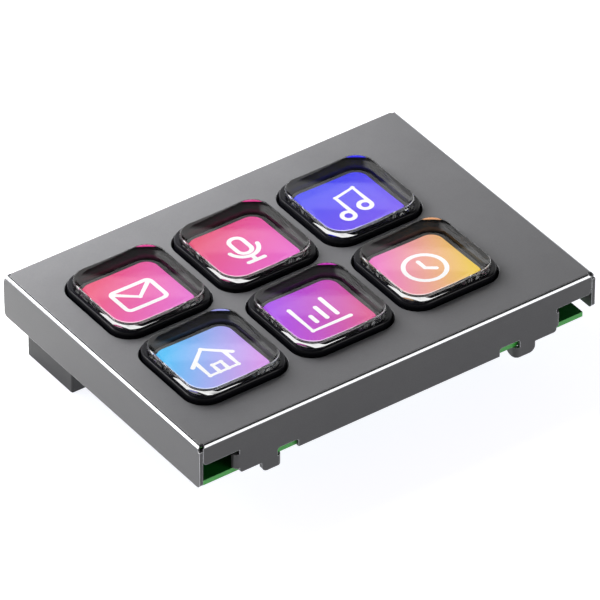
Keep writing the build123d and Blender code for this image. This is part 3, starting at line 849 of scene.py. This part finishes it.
# turning points of each run of copper
trackRuns = (
    [[(-12.3, -4.75 + 0.5 * k), (-14.0 - 0.2 * k, -4.75 + 0.5 * k), (-15.6, -6.0 + 0.75 * k)]
     for k in range(5)]
    + [[(-3.7, -5.25 + 0.5 * k), (-1.0 + 0.3 * k, -5.25 + 0.5 * k), (3.2 + 0.3 * k, -9.5 + 0.5 * k),
        (30.0, -9.5 + 0.5 * k)] for k in range(5)]
    + [[(-3.7, -1.75 + 0.5 * k), (2.6 - 0.3 * k, -1.75 + 0.5 * k), (6.2 - 0.3 * k, 1.85 + 0.5 * k),
        (32.0, 1.85 + 0.5 * k)] for k in range(4)]
    + [[(-10.75 + 0.5 * k, 1.3), (-10.75 + 0.5 * k, 1.9 + 0.2 * k), (-12.2 + 2.2 * k, 2.5)]
       for k in range(3)]
    + [[(6.0 + 2.2 * k - 1.1, -6.9), (6.0 + 2.2 * k - 1.1, -11.5), (6.0 + 2.2 * k + 2.0, -14.6),
        (6.0 + 2.2 * k + 2.0, -24.0)] for k in range(8)]
    + [[(6.0 + 2.2 * k + 1.1, 7.4), (6.0 + 2.2 * k + 1.1, 12.0), (6.0 + 2.2 * k + 3.6, 14.5),
        (6.0 + 2.2 * k + 3.6, 24.5)] for k in range(6)]
    + [[(-10.0 + 1.6 * k, -12.0), (-10.0 + 1.6 * k, -14.0 - k), (-14.0 + 1.6 * k, -18.0 - k),
        (-24.0 + k, -18.0 - k)] for k in range(3)]
    + [[(-24.8, 13.0 + 0.8 * k), (-23.6, 13.0 + 0.8 * k)] for k in range(3)]
)
# middle and size of each printed frame
legendFrames = (
    (-8.0, -3.0, 10.6, 10.6), (-19.0, -4.0, 6.2, 7.8), (-19.5, 15.0, 7.4, 7.4), (-8.0, -10.6, 4.2, 3.4),
    (-27.0, 14.0, 4.9, 4.9), (-5.4, 3.2, 16.0, 1.9), (-19.7, 19.5, 9.6, 1.9), (13.7, -6.0, 18.2, 1.9),
    (11.5, 6.5, 13.8, 1.9),
)


def makeBoardLines():
    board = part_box("main_board")[0][2] / mm
    runs = [makeStroke(points, tracks["width"], tracks["height"], board, rounded=False)
            for points in trackRuns]
    finishPiece(joinAll(runs), "board_tracks", "module", made["maskedCopper"])
    outlines = [makeStroke(roundedFrame(x, y, width, height, tracks["legendCorner"]),
                           tracks["legendWidth"], tracks["legendHeight"], board, rounded=False)
                for x, y, width, height in legendFrames]
    finishPiece(joinAll(outlines), "board_legend", "module", made["whiteLegendInk"])


makeBoardLines()

pads = {"radius": 0.62, "height": 0.04, "viaRadius": 0.28, "rim": 0.55, "dip": 0.35, "sides": 24}
padPlaces = [(-2.0 + 3.0 * k, -27.0) for k in range(8)] + [(33.0, 12.0 - 3.2 * k) for k in range(6)]
viaPlaces = (
    [(6.0 + 2.2 * k + 2.0, -24.0) for k in range(8)] + [(6.0 + 2.2 * k + 3.6, 24.5) for k in range(6)]
    + [(30.0, -9.5 + 0.5 * k) for k in (0, 2, 4)] + [(32.0, 1.85), (32.0, 2.85)]
    + [(-24.0 + k, -18.0 - k) for k in range(3)] + [(-33.0 + 5.5 * k, -26.5) for k in range(4)]
)


def makePads():
    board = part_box("main_board")[0][2]
    sets = (("test_pads", pads["radius"], padPlaces), ("vias", pads["viaRadius"], viaPlaces))
    for name, radius, places in sets:
        deselect()
        bpy.ops.mesh.primitive_cylinder_add(
            vertices=pads["sides"], radius=radius * mm, depth=pads["height"] * mm,
            location=(0, 0, board), end_fill_type="NGON"
        )
        pad = bpy.context.object
        bpy.ops.object.transform_apply(location=True, rotation=True, scale=True)
        for face in pad.data.polygons:
            face.select = face.normal.z < -0.9
        bpy.ops.object.mode_set(mode="EDIT")
        bpy.ops.mesh.select_mode(type="FACE")
        bpy.ops.mesh.inset(thickness=radius * pads["rim"] * mm)
        bpy.ops.transform.translate(value=(0, 0, pads["height"] * pads["dip"] * mm))
        bpy.ops.object.mode_set(mode="OBJECT")
        finishPiece(copyTo(pad, [(x * mm, y * mm, 0.0, 0.0) for x, y in places]), name, "module",
                    made["immersionGold"])


makePads()

contacts = {
    "count": 12, "pitch": 0.5, "width": 0.26, "length": 3.8, "thickness": 0.05, "tongueHalf": 0.35,
    "start": 0.4, "round": 0.02,
}


def makeContacts():
    # gold strips on both sides of the socket's tongue
    low = Vector(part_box("socket_tongue")[0])
    middle = nodeMiddle("socket_tongue")
    height = low.z + (contacts["length"] / 2 + contacts["start"]) * mm
    strip = makeBlock(
        (contacts["tongueHalf"] * mm, 0, height),
        (contacts["thickness"] * 2 * mm, contacts["width"] * mm, contacts["length"] * mm)
    )
    roundEdges(contacts["round"], 2)
    places = [(middle.x, middle.y + (k - (contacts["count"] - 1) / 2) * contacts["pitch"] * mm, 0.0, turn)
              for k in range(contacts["count"]) for turn in (0.0, math.pi)]
    finishPiece(copyTo(strip, places), "socket_contacts", "module", made["immersionGold"])


makeContacts()

marks = {"radius": 0.35, "depth": 0.04, "inset": 0.9, "round": 0.015, "sides": 24}


def makePinMarks():
    # round mark beside the first lead of each chip
    places = []
    for name in ("mcu", "flash_chip"):
        low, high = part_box(name)
        places.append((low[0] + marks["inset"] * mm, high[1] - marks["inset"] * mm, low[2], 0.0))
    deselect()
    bpy.ops.mesh.primitive_cylinder_add(
        vertices=marks["sides"], radius=marks["radius"] * mm, depth=marks["depth"] * mm
    )
    mark = bpy.context.object
    roundEdges(marks["round"], 1)
    finishPiece(copyTo(mark, places), "pin_marks", "module", made["glossBlackAbs"])


makePinMarks()
print("board parts made")

# the near lamp gives the slope of light over the face, the others light up the folds
lights = {
    "near": {"place": (-0.020, 0.090, 0.085), "size": (0.10, 0.08), "power": 0.33, "shine": False},
    "side": {"place": (-0.85, 0.50, 0.16), "size": (0.30, 0.30), "power": 1.6, "shine": True},
    "left": {"place": (-0.61, 0.645, 0.46), "size": (0.34, 0.34), "power": 1.2, "shine": True},
    "front": {"place": (0.461, -0.793, 0.397), "size": (0.34, 0.80), "power": 1.5, "shine": True},
}


def makeLamp(name, values):
    data = bpy.data.lights.new(name, "AREA")
    data.shape = "RECTANGLE"
    data.size, data.size_y = values["size"]
    data.energy = values["power"]
    lamp = bpy.data.objects.new(name, data)
    bpy.context.scene.collection.objects.link(lamp)
    lamp.location = values["place"]
    toward = Vector(values["place"]) - Vector(cameraView["aim"])
    lamp.rotation_euler = toward.to_track_quat("Z", "Y").to_euler()
    lamp.visible_camera = False
    lamp.visible_transmission = False
    lamp.visible_glossy = values["shine"]


for name, values in lights.items():
    makeLamp(name, values)

floor = {"half": 3.0, "height": -0.0001, "diffuse": "#B4B4B0", "glow": "#F1F1F8"}


def makeFloor():
    deselect()
    bpy.ops.mesh.primitive_plane_add(size=2 * floor["half"], location=(0, 0, floor["height"]))
    plane = bpy.context.object
    plane.name = "floor"
    material = bpy.data.materials.new("paleSweep")
    material.use_nodes = True
    tree = material.node_tree
    tree.nodes.clear()
    diffuse = addNode(tree, "ShaderNodeBsdfDiffuse", {"Color": fromHex(floor["diffuse"])})
    rays = addNode(tree, "ShaderNodeLightPath")
    seen = addNode(tree, "ShaderNodeMath", links={
        0: rays.outputs["Is Camera Ray"], 1: rays.outputs["Is Glossy Ray"],
    }, operation="MAXIMUM")
    seenThrough = addNode(tree, "ShaderNodeMath", links={
        0: seen.outputs[0], 1: rays.outputs["Is Transmission Ray"],
    }, operation="MAXIMUM")
    glow = addNode(tree, "ShaderNodeEmission", {"Color": fromHex(floor["glow"])}, {
        "Strength": seenThrough.outputs[0],
    })
    both = addNode(tree, "ShaderNodeAddShader", links={0: diffuse.outputs[0], 1: glow.outputs[0]})
    under = addNode(tree, "ShaderNodeBsdfTransparent")
    side = addNode(tree, "ShaderNodeNewGeometry")
    # from below, the floor lets the camera through
    chosen = addNode(tree, "ShaderNodeMixShader", links={
        0: side.outputs["Backfacing"], 1: both.outputs[0], 2: under.outputs[0],
    })
    addNode(tree, "ShaderNodeOutputMaterial", links={"Surface": chosen.outputs[0]})
    plane.data.materials.append(material)


makeFloor()

# sines of heights above the horizon, and the levels of the white wall and the dark ceiling
studio = {
    "wall": 1.0, "front": 0.15, "ceiling": 0.04, "wallTop": (0.622, 0.638), "horizon": (0.04, 0.16),
    "turn": (-0.35, 0.15),
}


def makeWorld():
    world = bpy.data.worlds.new("studio")
    bpy.context.scene.world = world
    world.use_nodes = True
    tree = world.node_tree
    tree.nodes.clear()
    coords = addNode(tree, "ShaderNodeTexCoord")
    split = addNode(tree, "ShaderNodeSeparateXYZ", links={0: coords.outputs["Generated"]})
    # the wall is white behind the object and darker in front of it, above a white horizon
    wall = addNode(tree, "ShaderNodeMapRange", {
        "From Min": studio["turn"][0], "From Max": studio["turn"][1],
        "To Min": studio["front"], "To Max": studio["wall"],
    }, {"Value": split.outputs["Y"]}, interpolation_type="SMOOTHSTEP")
    high = addNode(tree, "ShaderNodeMapRange", {
        "From Min": studio["horizon"][0], "From Max": studio["horizon"][1], "To Min": 1.0, "To Max": 0.0,
    }, {"Value": split.outputs["Z"]}, interpolation_type="SMOOTHSTEP")
    band = addNode(tree, "ShaderNodeMix", {3: 1.0}, {
        0: high.outputs["Result"], 2: wall.outputs["Result"],
    }, data_type="FLOAT")
    top = addNode(tree, "ShaderNodeMapRange", {
        "From Min": studio["wallTop"][0], "From Max": studio["wallTop"][1], "To Min": 0.0, "To Max": 1.0,
    }, {"Value": split.outputs["Z"]}, interpolation_type="SMOOTHSTEP")
    level = addNode(tree, "ShaderNodeMix", {3: studio["ceiling"]}, {
        0: top.outputs["Result"], 2: band.outputs[0],
    }, data_type="FLOAT")
    glow = addNode(tree, "ShaderNodeBackground", {"Color": (1, 1, 1, 1)}, {"Strength": level.outputs[0]})
    addNode(tree, "ShaderNodeOutputWorld", links={"Surface": glow.outputs[0]})


makeWorld()
# enough bounces for light to pass the walls of the clear caps
bounces = {"max_bounces": 16, "transmission_bounces": 16, "glossy_bounces": 8}
for name, count in bounces.items():
    setattr(bpy.context.scene.cycles, name, count)
bpy.context.scene.view_settings.view_transform = "Standard"
print("light and floor made")
